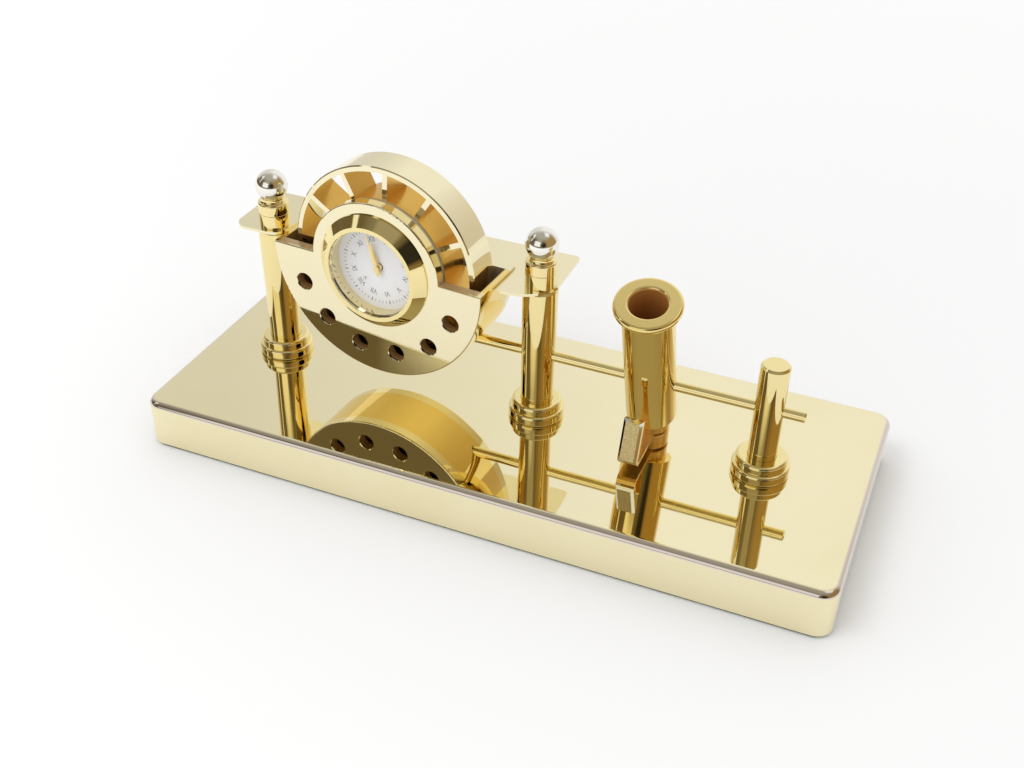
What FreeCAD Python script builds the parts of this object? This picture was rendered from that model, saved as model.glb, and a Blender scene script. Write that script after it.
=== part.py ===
import FreeCAD, Part
import math
import os

import Sketcher
from FreeCAD import Vector

# A gold-plated desk clock with a pen tube, styled as a small turbine: a bladed wheel turns
# in a half casing that carries a quartz clock insert, and a rod runs on through two more posts.
# Millimetres, +Z up, +X to the viewer's right, +Y away from the viewer.
# The origin is the middle of the footprint, on the surface that the felt stands on.

os.makedirs("parts", exist_ok=True)
doc = FreeCAD.newDocument("DeskClock")

# Driving dimensions

sheet = doc.addObject("Spreadsheet::Sheet", "Sizes")
SIZES = [
    # base: a pressed brass cover over a board, with a felt pad below
    ("base_length", 200.0),
    ("base_depth", 82.4),
    ("base_height", 15.0),
    ("base_corner", 5.0),
    ("base_round", 2.0),
    ("cover_wall", 1.2),
    ("core_gap", 0.1),
    ("felt_thickness", 1.0),
    ("felt_inset", 0.8),
    # posts and the rod's height
    ("post_line", 0.0),
    ("left_post_margin", 23.5),
    ("left_post_gap", 6.0),
    ("middle_post_gap", 10.8),
    ("right_post_margin", 29.45),
    ("shaft_diameter", 9.1),
    ("shaft_widening", 0.8),
    ("right_shaft_diameter", 7.9),
    ("right_post_top", 49.4),
    ("shaft_chamfer", 0.6),
    ("foot_diameter", 15.8),
    ("foot_height", 3.1),
    ("foot_round", 0.8),
    ("foot_ring_diameter", 14.0),
    ("foot_ring_height", 2.5),
    ("foot_ring_round", 0.9),
    ("fit", 0.05),
    # finials that clamp the carrier plate on the two tall posts
    ("sleeve_diameter", 8.7),
    ("sleeve_height", 4.1),
    ("collar_height", 3.3),
    ("neck_diameter", 7.0),
    ("neck_flare", 0.4),
    ("neck_height", 1.6),
    ("neck_cove", 1.2),
    ("ball_diameter", 9.2),
    ("edge_round", 0.4),
    ("stud_diameter", 4.0),
    ("stud_reach", 8.0),
    # screws from below
    ("screw_head_diameter", 7.6),
    ("screw_head_height", 2.6),
    ("screw_recess", 0.6),
    ("screw_reach", 9.0),
    ("screw_clearance", 0.2),
    ("head_clearance", 0.7),
    ("socket_width", 2.5),
    ("socket_depth", 1.4),
    ("socket_turn", 15.0),
    # carrier plate behind and beside the casing
    ("carrier_top", 57.5),
    ("carrier_thickness", 0.8),
    ("carrier_left_reach", 10.6),
    ("carrier_right_reach", 4.9),
    ("carrier_back", 18.0),
    ("carrier_left_front", -5.4),
    ("carrier_belly", -8.1),
    ("carrier_sweep_start", 6.7),
    ("carrier_sweep", 12.5),
    ("carrier_waist", 5.5),
    ("carrier_slot_gap", 0.1),
    ("carrier_end_round", 4.0),
    ("carrier_back_round", 1.5),
    # casing, in its own frame: origin on the wheel's axis at the front plate's face
    ("casing_place_y", -12.8),
    ("casing_lift", 0.1),
    ("casing_turn", 4.5),
    ("casing_radius", 32.6),
    ("casing_depth", 20.0),
    ("casing_rise", 0.8),
    ("plate_thickness", 3.0),
    ("casing_wall", 1.5),
    ("collar_radius", 19.85),
    ("insert_bore", 31.2),
    ("vent_count", 6.0),
    ("vent_margin", 7.2),
    ("vent_diameter", 5.0),
    ("vent_step", 26.9),
    # sleeve that carries the wheel, and the wheel
    ("bearing_radius", 17.8),
    ("bearing_wall", 1.2),
    ("wheel_width", 10.2),
    ("wheel_gap", 2.8),
    ("rim_wall", 1.6),
    ("hub_radius", 19.3),
    ("wheel_side_gap", 0.05),
    ("blade_thickness", 1.5),
    ("blade_phase", 3.3),
    # clock insert
    ("bezel_radius", 16.7),
    ("bezel_edge", 0.5),
    ("bezel_height", 2.9),
    ("bezel_top_radius", 14.0),
    ("ring_width", 1.6),
    ("glass_seat", 1.2),
    ("glass_ledge", 0.8),
    ("glass_edge", 1.2),
    ("glass_dome", 0.9),
    ("case_wall", 0.8),
    ("case_depth", 11.5),
    ("dial_depth", 3.0),
    ("dial_thickness", 0.4),
    ("grip_depth", 4.5),
    ("grip_width", 2.5),
    ("grip_thickness", 0.6),
    ("hour_hand_length", 6.6),
    ("hour_hand_width", 1.3),
    ("minute_hand_length", 9.6),
    ("minute_hand_width", 0.9),
    ("hand_tail", 2.0),
    ("hand_thickness", 0.25),
    ("hand_spacing", 0.55),
    ("hour_hub_radius", 1.0),
    ("minute_hub_radius", 0.75),
    ("insert_turn", 16.5),
    ("movement_thickness", 4.2),
    ("movement_radius", 13.6),
    ("battery_radius", 4.7),
    ("battery_thickness", 2.6),
    ("battery_offset", 7.0),
    ("cover_thickness", 0.8),
    ("knob_offset", 6.5),
    ("knob_radius", 2.8),
    ("knob_height", 1.8),
    ("knob_stem_radius", 0.8),
    ("knob_gap", 0.3),
    # rod
    ("rod_height", 35.4),
    ("rod_diameter", 3.0),
    ("rod_overhang", 9.75),
    ("rod_chamfer", 0.3),
    # pen tube, in its own frame: origin where the rod crosses its axis
    ("tube_gap", 32.55),
    ("tube_lean", 18.0),
    ("tube_diameter", 14.0),
    ("tube_above", 31.0),
    ("tube_below", 13.3),
    ("tube_bore", 10.0),
    ("tube_bore_depth", 27.0),
    ("tube_mouth", 0.8),
    ("flange_diameter", 18.1),
    ("flange_thickness", 2.2),
    ("flange_round", 0.9),
    ("pen_neck_diameter", 11.0),
    ("pen_washer_height", 2.2),
    # bent strip in front of the pen tube
    ("strip_width", 5.3),
    ("strip_thickness", 1.0),
    ("strip_front", -16.9),
    ("strip_leaf", 14.0),
    ("strip_lean", 18.6),
    ("strip_bend", 1.0),
    ("pad_length", 12.0),
    ("pad_thickness", 1.3),
    ("pad_chamfer", 0.7),
]
for row, (alias, number) in enumerate(SIZES, start=1):
    sheet.set("A%d" % row, alias)
    sheet.set("B%d" % row, "%g" % number)
    sheet.setAlias("B%d" % row, alias)
doc.recompute()


def size(formula):
    """The value of a formula in the sheet's words, in millimetres or degrees."""
    return float(sheet.evalExpression(bound(formula)))


def bound(formula):
    """The formula with each of the sheet's words written the way an object refers to it."""
    out = formula
    for alias in sorted((name for name, _ in SIZES), key=len, reverse=True):
        out = replace_word(out, alias)
    return out


def replace_word(text, word):
    """Put Sizes. before each whole word, where it isn't there yet."""
    pieces = []
    start = 0
    while True:
        at = text.find(word, start)
        if at < 0:
            pieces.append(text[start:])
            return "".join(pieces)
        before = text[at - 1] if at else " "
        after = text[at + len(word)] if at + len(word) < len(text) else " "
        whole = not (before.isalnum() or before in "._") and not (after.isalnum() or after == "_")
        pieces.append(text[start:at] + ("Sizes." if whole else "") + word)
        start = at + len(word)


# Frames: where each group of pieces stands

LEFT_POST = "(left_post_margin - base_length / 2)"
CASING_X = "(%s + left_post_gap + casing_radius)" % LEFT_POST
CASING_Z = "(carrier_top + casing_lift)"
MIDDLE_POST = "(%s + casing_radius + middle_post_gap)" % CASING_X
RIGHT_POST = "(base_length / 2 - right_post_margin)"
TUBE_X = "(%s - tube_gap)" % RIGHT_POST
BASE_FRAME = "placement(vector(0; 0; 0); rotation(0; 0; 0))"
CASING_FRAME = (
    "placement(vector(%s; casing_place_y; %s); rotation(-casing_turn; 0; 90))"
    % (CASING_X, CASING_Z)
)
TUBE_FRAME = "placement(vector(%s; post_line; rod_height); rotation(0; 0; tube_lean))" % TUBE_X


def standing_at(place_x, height="base_height", place_y="post_line"):
    """A frame upright on the base at a post's place."""
    return "placement(vector(%s; %s; %s); rotation(0; 0; 0))" % (place_x, place_y, height)


# Helpers for bodies, sketches and features

NODES = []


def keep(item, label):
    """Mark a finished object as a sub-part under its own name."""
    item.Label = label
    NODES.append(item)
    return item


def new_body(label, frame=BASE_FRAME, is_node=True):
    """A body in a frame, listed as a sub-part unless a cut uses it."""
    body = doc.addObject("PartDesign::Body", label if is_node else label + "_blank")
    body.setExpression("Placement", bound(frame))
    if is_node:
        keep(body, label)
    return body


def origin_plane(body, role):
    """One of the body's own origin planes."""
    return next(item for item in body.Origin.OriginFeatures if item.Role == role)


def new_sketch(body, plane="XY_Plane", lift=None, turn=None):
    """A sketch on an origin plane, lifted along the plane's normal and turned about it."""
    sketch = body.newObject("Sketcher::SketchObject", "Sketch")
    sketch.AttachmentSupport = [(origin_plane(body, plane), "")]
    sketch.MapMode = "FlatFace"
    parts = "placement(vector(0; 0; %s); rotation(%s; 0; 0))" % (lift or "0", turn or "0")
    sketch.setExpression("AttachmentOffset", bound(parts))
    return sketch


def add_circle(sketch, radius, place=("0", "0")):
    """A circle whose radius and centre follow the sheet."""
    x, y = size(place[0]), size(place[1])
    index = sketch.addGeometry(Part.Circle(Vector(x, y, 0), Vector(0, 0, 1), size(radius)), False)
    bind(sketch, Sketcher.Constraint("Radius", index, size(radius)), radius)
    pin_point(sketch, index, 3, place)
    return index


def bind(sketch, constraint, formula):
    """Add a constraint and tie its value to a formula."""
    index = sketch.addConstraint(constraint)
    sketch.setExpression("Constraints[%d]" % index, bound(formula))


def pin_point(sketch, index, which, place):
    """Hold a point at a place: on an axis where a coordinate is nought, else by a distance."""
    for kind, axis, formula in (("DistanceX", -2, place[0]), ("DistanceY", -1, place[1])):
        value = size(formula)
        if formula.strip() == "0":
            sketch.addConstraint(Sketcher.Constraint("PointOnObject", index, which, axis))
        else:
            bind(sketch, Sketcher.Constraint(kind, -1, 1, index, which, value), formula)


def add_outline(sketch, corners):
    """A closed outline. A corner is (x, y), or (x, y, radius) where an arc runs on to the next
    corner, bulging to the right of the way there; a negative radius bulges to the left."""
    spots = [Vector(size(corner[0]), size(corner[1]), 0) for corner in corners]
    count = len(corners)
    first = sketch.GeometryCount
    for number in range(count):
        start, end = spots[number], spots[(number + 1) % count]
        if len(corners[number]) == 3:
            sketch.addGeometry(arc_between(start, end, size(corners[number][2])), False)
        else:
            sketch.addGeometry(Part.LineSegment(start, end), False)
    for number in range(count):
        here, ahead = corners[number], corners[(number + 1) % count]
        index, following = first + number, first + (number + 1) % count
        this_end, next_start = arc_ends(here)[1], arc_ends(ahead)[0]
        sketch.addConstraint(
            Sketcher.Constraint("Coincident", index, this_end, following, next_start))
        pin_point(sketch, index, arc_ends(here)[0], here)
        if len(here) == 3:
            radius = here[2].lstrip("-")
            bind(sketch, Sketcher.Constraint("Radius", index, size(radius)), radius)


def arc_ends(corner):
    """Which ends of a corner's edge are its start and its end: an arc that bulges to the
    right of its way runs anticlockwise, and one that bulges to the left runs clockwise."""
    clockwise = len(corner) == 3 and corner[2].startswith("-")
    return (2, 1) if clockwise else (1, 2)


def arc_between(start, end, radius):
    """The shorter arc from start to end."""
    chord = end - start
    half = chord.Length / 2
    middle = (start + end) * 0.5
    right = Vector(chord.y, -chord.x, 0).normalize()
    side = -1 if radius > 0 else 1
    reach = math.sqrt(max(radius * radius - half * half, 0.0))
    centre = middle + right * (side * reach)
    from_angle = math.atan2(start.y - centre.y, start.x - centre.x)
    to_angle = math.atan2(end.y - centre.y, end.x - centre.x)
    circle = Part.Circle(centre, Vector(0, 0, 1), abs(radius))
    if radius > 0:
        return Part.ArcOfCircle(circle, from_angle, to_angle)
    return Part.ArcOfCircle(circle, to_angle, from_angle)


def pad(body, sketch, length, reverse=False, midplane=False):
    """Raise a sketch along its normal."""
    feature = body.newObject("PartDesign::Pad", "Pad")
    feature.Profile = sketch
    feature.setExpression("Length", bound(length))
    feature.Reversed = reverse
    feature.Midplane = midplane
    body.Tip = feature
    doc.recompute()
    return feature


def pocket(body, sketch, depth=None, reverse=False, midplane=False):
    """Cut a sketch into the body, through all where no depth is given."""
    before = body.Shape.Volume
    feature = body.newObject("PartDesign::Pocket", "Pocket")
    feature.Profile = sketch
    if depth is None:
        feature.Type = "ThroughAll"
    else:
        feature.setExpression("Length", bound(depth))
    feature.Reversed = reverse
    feature.Midplane = midplane
    body.Tip = feature
    doc.recompute()
    if body.Shape.Volume >= before - 1e-6:
        raise RuntimeError("a pocket cut nothing in " + body.Label)
    return feature


def revolve(body, corners):
    """Turn an outline, drawn as radius and height, about the body's upright axis."""
    sketch = new_sketch(body, "XZ_Plane")
    add_outline(sketch, corners)
    feature = body.newObject("PartDesign::Revolution", "Revolution")
    feature.Profile = sketch
    feature.ReferenceAxis = (sketch, ["V_Axis"])
    feature.Angle = 360
    body.Tip = feature
    doc.recompute()
    return feature


def dress(body, kind, setting, amount, wanted):
    """Fillet or chamfer the edges of the body's tip that a test picks."""
    tip = body.Tip
    names = [
        "Edge%d" % (number + 1)
        for number, edge in enumerate(tip.Shape.Edges)
        if wanted(edge)
    ]
    if not names:
        raise RuntimeError("no edge to dress on " + body.Label)
    feature = body.newObject("PartDesign::" + kind, kind)
    feature.Base = (tip, names)
    feature.setExpression(setting, bound(amount))
    body.Tip = feature
    doc.recompute()
    return feature


def fillet(body, radius, wanted):
    return dress(body, "Fillet", "Radius", radius, wanted)


def chamfer(body, width, wanted):
    return dress(body, "Chamfer", "Size", width, wanted)


def is_round(edge):
    """A test for circles and their arcs; the point at a ball's pole is neither."""
    return edge.Length > 1e-3 and isinstance(edge.Curve, Part.Circle)


def is_ring(radius, height):
    """A test for the round edge of a radius at a height in the body's frame."""
    wanted_radius, wanted_height = size(radius), size(height)

    def test(edge):
        if not is_round(edge):
            return False
        level = abs(edge.Curve.Center.z - wanted_height) < 1e-4
        return level and abs(edge.Curve.Radius - wanted_radius) < 1e-4

    return test


def one_of(*tests):
    """A test that passes where any of the given tests passes."""
    return lambda edge: any(test(edge) for test in tests)


def is_upright(edge):
    """A test for straight edges along the body's Z."""
    box = edge.BoundBox
    return box.ZLength > 1e-3 and box.XLength < 1e-4 and box.YLength < 1e-4


def is_level_at(height):
    """A test for edges that lie wholly at a height."""
    wanted = size(height)
    return lambda edge: abs(edge.BoundBox.ZMin - wanted) < 1e-4 and edge.BoundBox.ZLength < 1e-4


def boolean(kind, label, base, tool):
    """A cut, common or fuse of two objects, kept as a sub-part."""
    item = doc.addObject("Part::" + kind, label)
    item.Base = base
    item.Tool = tool
    doc.recompute()
    return keep(item, label)


def drill(name, radius, length, frame):
    """A plain cylinder to cut with."""
    item = doc.addObject("Part::Cylinder", name)
    item.setExpression("Radius", bound(radius))
    item.setExpression("Height", bound(length))
    item.setExpression("Placement", bound(frame))
    return item


def rounded_board(body, inset, bottom, thickness, corner):
    """A board of the base's outline, drawn in by an inset."""
    sketch = new_sketch(body, lift=bottom)
    half_x = "(base_length / 2 - (%s))" % inset
    half_y = "(base_depth / 2 - (%s))" % inset
    add_outline(sketch, [
        ("-" + half_x, "-" + half_y),
        (half_x, "-" + half_y),
        (half_x, half_y),
        ("-" + half_x, half_y),
    ])
    pad(body, sketch, thickness)
    fillet(body, corner, is_upright)


FASTENING_PLACES = [
    ("left_post", LEFT_POST, "post_line"),
    ("middle_post", MIDDLE_POST, "post_line"),
    ("right_post", RIGHT_POST, "post_line"),
    ("pen_tube", TUBE_X, "post_line + tube_below * sin(tube_lean)"),
]
SHANK = "(stud_diameter / 2)"
SCREW_HOLE = "(stud_diameter / 2 + screw_clearance)"
TAPPED = "(stud_diameter / 2 + fit)"
CORE_TOP = "(base_height - cover_wall - core_gap)"


def holes_for_screws(body, radius, from_below=None, depth=None):
    """Round holes at each place that a screw comes up through."""
    sketch = new_sketch(body, lift=from_below or "0")
    for _, place_x, place_y in FASTENING_PLACES:
        add_circle(sketch, radius, (place_x, place_y))
    return pocket(body, sketch, depth, reverse=True)


# Base

cover = new_body("base_cover")
rounded_board(cover, "0", "felt_thickness", "base_height - felt_thickness", "base_corner")
fillet(cover, "base_round", is_level_at("base_height"))
hollow = new_sketch(cover, lift="felt_thickness")
INNER_X = "(base_length / 2 - cover_wall)"
INNER_Y = "(base_depth / 2 - cover_wall)"
INNER_CORNER = "(base_corner - cover_wall)"
add_outline(hollow, [
    ("-" + INNER_X + " + " + INNER_CORNER, "-" + INNER_Y),
    (INNER_X + " - " + INNER_CORNER, "-" + INNER_Y, INNER_CORNER),
    (INNER_X, "-" + INNER_Y + " + " + INNER_CORNER),
    (INNER_X, INNER_Y + " - " + INNER_CORNER, INNER_CORNER),
    (INNER_X + " - " + INNER_CORNER, INNER_Y),
    ("-" + INNER_X + " + " + INNER_CORNER, INNER_Y, INNER_CORNER),
    ("-" + INNER_X, INNER_Y + " - " + INNER_CORNER),
    ("-" + INNER_X, "-" + INNER_Y + " + " + INNER_CORNER, INNER_CORNER),
])
pocket(cover, hollow, "base_height - felt_thickness - cover_wall", reverse=True)
holes_for_screws(cover, SCREW_HOLE, "felt_thickness")

core = new_body("base_core")
rounded_board(core, "cover_wall + core_gap", "felt_thickness", CORE_TOP + " - felt_thickness",
              "base_corner - cover_wall - core_gap")
holes_for_screws(core, SCREW_HOLE, "felt_thickness")
holes_for_screws(core, "(screw_head_diameter + head_clearance) / 2", "felt_thickness",
                 "screw_head_height + screw_recess")

felt = new_body("felt_pad")
rounded_board(felt, "felt_inset", "0", "felt_thickness", "base_corner - felt_inset")

# Screws that come up through the base into the posts and the pen tube

HEAD_BOTTOM = "(felt_thickness + screw_recess)"


def base_screw(label, place_x, place_y):
    """A cap screw with its head in the board's counterbore."""
    body = new_body(label + "_screw", standing_at(place_x, HEAD_BOTTOM, place_y))
    reach = "(base_height - felt_thickness - screw_recess + screw_reach)"
    revolve(body, [
        ("0", "0"),
        ("screw_head_diameter / 2", "0"),
        ("screw_head_diameter / 2", "screw_head_height"),
        (SHANK, "screw_head_height"),
        (SHANK, reach),
        ("0", reach),
    ])
    socket = new_sketch(body)
    across = "socket_width / 2 / cos(30)"
    add_outline(socket, [
        ("(%s) * cos(socket_turn + %d)" % (across, side * 60),
         "(%s) * sin(socket_turn + %d)" % (across, side * 60))
        for side in range(6)
    ])
    pocket(body, socket, "socket_depth", reverse=True)
    return body


for post, place_x, place_y in FASTENING_PLACES:
    base_screw(post, place_x, place_y)

# Posts: a turned foot ring, a plain shaft, and on the tall posts a sleeve and a finial


def foot_ring(label, place_x, diameter):
    """The stepped and rounded ring that the shaft stands in."""
    body = new_body(label + "_foot", standing_at(place_x))
    bore = "(%s / 2 + fit)" % diameter
    top = "foot_height + foot_ring_height"
    revolve(body, [
        (bore, "0"),
        ("foot_diameter / 2", "0"),
        ("foot_diameter / 2", "foot_height"),
        ("foot_ring_diameter / 2", "foot_height"),
        ("foot_ring_diameter / 2", top),
        (bore, top),
    ])
    fillet(body, "foot_round", one_of(
        is_ring("foot_diameter / 2", "0"), is_ring("foot_diameter / 2", "foot_height")))
    fillet(body, "foot_ring_round", is_ring("foot_ring_diameter / 2", top))
    return body


def shaft(label, place_x, diameter, widening, top, top_bore, cross_hole):
    """A post's shaft, straight in its foot and widening above it, with its tapped bores and
    the rod's hole across it."""
    body = new_body(label + "_shaft", standing_at(place_x))
    tall = "(%s - base_height)" % top
    upper_radius = "((%s + %s) / 2)" % (diameter, widening)
    revolve(body, [
        ("0", "0"),
        ("%s / 2" % diameter, "0"),
        ("%s / 2" % diameter, "foot_height + foot_ring_height"),
        (upper_radius, "%s - shaft_chamfer" % tall),
        ("%s - shaft_chamfer" % upper_radius, tall),
        ("0", tall),
    ])
    lower = new_sketch(body)
    add_circle(lower, TAPPED)
    pocket(body, lower, "screw_reach + 1", reverse=True)
    if top_bore:
        upper = new_sketch(body, lift=tall)
        add_circle(upper, TAPPED)
        pocket(body, upper, "stud_reach + 1")
    if cross_hole:
        across = new_sketch(body, "YZ_Plane")
        add_circle(across, "rod_diameter / 2 + fit", ("0", "rod_height - base_height"))
        pocket(body, across, "%s * 2" % diameter, midplane=True)
    return body


def sleeve(label, place_x):
    """The plain sleeve between the carrier plate and the finial."""
    body = new_body(label + "_sleeve", standing_at(place_x, "carrier_top"))
    revolve(body, [
        (TAPPED, "0"),
        ("sleeve_diameter / 2", "0"),
        ("sleeve_diameter / 2", "sleeve_height"),
        (TAPPED, "sleeve_height"),
    ])
    fillet(body, "edge_round / 4", one_of(
        is_ring("sleeve_diameter / 2", "0"), is_ring("sleeve_diameter / 2", "sleeve_height")))
    return body


def finial(label, place_x):
    """The ball finial, whose stud runs through the sleeve and the plate into the shaft."""
    body = new_body(label + "_finial", standing_at(place_x, "carrier_top + sleeve_height"))
    stud_end = "-(sleeve_height + carrier_thickness + stud_reach)"
    ball = "(ball_diameter / 2)"
    neck = "(neck_diameter / 2)"
    neck_root = "((neck_diameter + neck_flare) / 2)"
    neck_top = "(collar_height + neck_height)"
    ball_top = neck_top + " + sqrt(%s * %s - %s * %s) + %s" % (ball, ball, neck, neck, ball)
    revolve(body, [
        ("0", stud_end),
        (SHANK, stud_end),
        (SHANK, "0"),
        ("sleeve_diameter / 2", "0"),
        ("sleeve_diameter / 2", "collar_height"),
        (neck_root, "collar_height", "-neck_cove"),
        (neck, neck_top, ball),
        ("0", ball_top),
    ])
    fillet(body, "edge_round * 3 / 2", is_ring("sleeve_diameter / 2", "collar_height"))
    fillet(body, "edge_round / 4", is_ring("sleeve_diameter / 2", "0"))
    return body


CARRIER_BOTTOM = "(carrier_top - carrier_thickness)"
foot_ring("left_post", LEFT_POST, "shaft_diameter")
foot_ring("middle_post", MIDDLE_POST, "shaft_diameter")
foot_ring("right_post", RIGHT_POST, "right_shaft_diameter")
shaft("left_post", LEFT_POST, "shaft_diameter", "shaft_widening", CARRIER_BOTTOM, True, False)
shaft("middle_post", MIDDLE_POST, "shaft_diameter", "shaft_widening", CARRIER_BOTTOM, True, True)
shaft("right_post", RIGHT_POST, "right_shaft_diameter", "0", "right_post_top", False, True)
for post, place_x in (("left_post", LEFT_POST), ("middle_post", MIDDLE_POST)):
    sleeve(post, place_x)
    finial(post, place_x)

# Carrier plate: one strip behind the casing, whose two ends are clamped on the tall posts

plate = new_body("carrier_plate", "placement(vector(0; 0; %s); rotation(0; 0; 0))" % CARRIER_BOTTOM,
                 is_node=False)
outline = new_sketch(plate)
CARRIER_LEFT = LEFT_POST + " - carrier_left_reach"
CARRIER_RIGHT = MIDDLE_POST + " + carrier_right_reach"
add_outline(outline, [
    (CARRIER_LEFT, "carrier_left_front"),
    (LEFT_POST + " + carrier_end_round", "carrier_left_front"),
    (CASING_X + " - casing_radius", "carrier_waist"),
    (CASING_X + " + casing_radius", "carrier_belly"),
    (MIDDLE_POST + " - carrier_sweep_start", "carrier_belly", "carrier_sweep"),
    (CARRIER_RIGHT, "post_line"),
    (CARRIER_RIGHT, "carrier_back"),
    (CARRIER_LEFT, "carrier_back"),
])
pad(plate, outline, "carrier_thickness")
fillet(plate, "carrier_end_round", lambda edge: is_upright(edge) and (
    abs(edge.BoundBox.YMin - size("carrier_left_front")) < 1e-3))
fillet(plate, "carrier_back_round", lambda edge: is_upright(edge) and (
    edge.BoundBox.YMin > size("carrier_back") - 0.1))
plate_holes = new_sketch(plate)
for _, place_x, place_y in FASTENING_PLACES[:2]:
    add_circle(plate_holes, SCREW_HOLE, (place_x, place_y))
pocket(plate, plate_holes, reverse=True)
slot = doc.addObject("Part::Box", "casing_slot")
slot.setExpression("Length", bound("(casing_radius + carrier_slot_gap) * 2"))
slot.setExpression("Width", bound("casing_radius"))
slot.setExpression("Height", bound("casing_depth * 2 + carrier_slot_gap"))
slot.setExpression("Placement", bound(
    CASING_FRAME + " * placement(vector(-casing_radius - carrier_slot_gap; -casing_radius / 2;"
    " -casing_depth - carrier_slot_gap); rotation(0; 0; 0))"))
boolean("Cut", "carrier_plate", plate, slot)

# Casing: two half-round plates joined by a bent wall, open at the top

PLATE_BACK = "-plate_thickness"
BACK_FACE = "-(casing_depth - plate_thickness)"


def half_disc(body, back, thickness):
    """A disc of the casing's radius, cut off level just above its centre."""
    sketch = new_sketch(body, lift=back)
    add_circle(sketch, "casing_radius")
    pad(body, sketch, thickness)
    above = new_sketch(body, lift=back)
    add_outline(above, [
        ("-casing_radius - 1", "casing_rise"),
        ("casing_radius + 1", "casing_rise"),
        ("casing_radius + 1", "casing_radius + 1"),
        ("-casing_radius - 1", "casing_radius + 1"),
    ])
    pocket(body, above, thickness, reverse=True)


front = new_body("casing_front", CASING_FRAME)
half_disc(front, PLATE_BACK, "plate_thickness")
eye = new_sketch(front, lift=PLATE_BACK)
add_circle(eye, "collar_radius")
pad(front, eye, "plate_thickness")
insert_hole = new_sketch(front, lift=PLATE_BACK)
add_circle(insert_hole, "insert_bore / 2")
pocket(front, insert_hole, "plate_thickness", reverse=True)
vent = new_sketch(front, lift=PLATE_BACK)
VENT_CIRCLE = "(casing_radius - vent_margin)"
FIRST_VENT = "(vent_step * (vent_count - 1) / 2)"
add_circle(vent, "vent_diameter / 2",
           ("-%s * sin(%s)" % (VENT_CIRCLE, FIRST_VENT), "-%s * cos(%s)" % (VENT_CIRCLE, FIRST_VENT)))
first_vent = pocket(front, vent, "plate_thickness", reverse=True)
vents = front.newObject("PartDesign::PolarPattern", "vents")
vents.Originals = [first_vent]
vents.Axis = (origin_plane(front, "Z_Axis"), [""])
vents.setExpression("Angle", bound("vent_step * (vent_count - 1)"))
vents.setExpression("Occurrences", bound("vent_count"))
front.Tip = vents
doc.recompute()


def is_vent(edge):
    """A test for the round edges of the six holes."""
    return is_round(edge) and abs(edge.Curve.Radius - size("vent_diameter / 2")) < 1e-4


chamfer(front, "edge_round / 2", lambda edge: is_vent(edge) and is_level_at("0")(edge))
fillet(front, "edge_round", lambda edge: is_level_at("0")(edge) and (
    not is_round(edge) or edge.Curve.Radius > size("insert_bore / 2 + edge_round")))

back = new_body("casing_back", CASING_FRAME)
half_disc(back, "-casing_depth", "plate_thickness")
fillet(back, "edge_round", is_level_at("-casing_depth"))

wall = new_body("casing_wall", CASING_FRAME, is_node=False)
WALL_WIDTH = "(casing_depth - plate_thickness * 2)"
half_disc(wall, BACK_FACE, WALL_WIDTH)
inside = new_sketch(wall, lift=BACK_FACE)
add_circle(inside, "casing_radius - casing_wall")
pocket(wall, inside, WALL_WIDTH, reverse=True)

# The rod enters the wall at its own height, so the hole's place follows from the circle there
ROD_DROP = "(%s - rod_height)" % CASING_Z
ROD_ENTRY = "sqrt(casing_radius * casing_radius - %s * %s)" % (ROD_DROP, ROD_DROP)
ROD_LEFT = (
    "(%s + (%s - casing_wall + (post_line - casing_place_y) * sin(casing_turn))"
    " / cos(casing_turn))" % (CASING_X, ROD_ENTRY)
)
wall_drill = drill("wall_drill", "rod_diameter / 2 + fit", "casing_radius",
                   "placement(vector(%s + casing_wall * 4; post_line; rod_height);"
                   " rotation(0; 90; 0))" % CASING_X)
boolean("Cut", "casing_wall", wall, wall_drill)

# Bearing sleeve behind the collar: it joins the two plates and carries the wheel

bearing = new_body("bearing_sleeve", CASING_FRAME)
revolve(bearing, [
    ("bearing_radius - bearing_wall", BACK_FACE),
    ("bearing_radius", BACK_FACE),
    ("bearing_radius", PLATE_BACK),
    ("bearing_radius - bearing_wall", PLATE_BACK),
])

SIDE_ROOM = "((casing_depth - plate_thickness * 2 - wheel_width) / 2)"
WHEEL_BACK = "(-(casing_depth - plate_thickness) + %s)" % SIDE_ROOM
for label, bottom in (("front_spacer", "-plate_thickness - %s + wheel_side_gap" % SIDE_ROOM),
                      ("back_spacer", BACK_FACE)):
    spacer = new_body(label, CASING_FRAME)
    spacer_top = "%s + %s - wheel_side_gap" % (bottom, SIDE_ROOM)
    revolve(spacer, [
        ("bearing_radius + fit", bottom),
        ("hub_radius - edge_round", bottom),
        ("hub_radius - edge_round", spacer_top),
        ("bearing_radius + fit", spacer_top),
    ])

# Wheel: a hub ring, a rim ring and twelve radial blades between them

WHEEL_RADIUS = "(casing_radius - casing_wall - wheel_gap)"
RIM_BORE = "(%s - rim_wall)" % WHEEL_RADIUS
WHEEL_FRONT = "(%s + wheel_width)" % WHEEL_BACK
hub = new_body("wheel_hub", CASING_FRAME)
revolve(hub, [
    ("bearing_radius + fit", WHEEL_BACK),
    ("hub_radius", WHEEL_BACK),
    ("hub_radius", WHEEL_FRONT),
    ("bearing_radius + fit", WHEEL_FRONT),
])
rim = new_body("wheel_rim", CASING_FRAME)
revolve(rim, [
    (RIM_BORE, WHEEL_BACK),
    (WHEEL_RADIUS, WHEEL_BACK),
    (WHEEL_RADIUS, WHEEL_FRONT),
    (RIM_BORE, WHEEL_FRONT),
])
chamfer(rim, "edge_round * 3 / 4", one_of(
    is_ring(WHEEL_RADIUS, WHEEL_FRONT), is_ring(WHEEL_RADIUS, WHEEL_BACK)))

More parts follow.
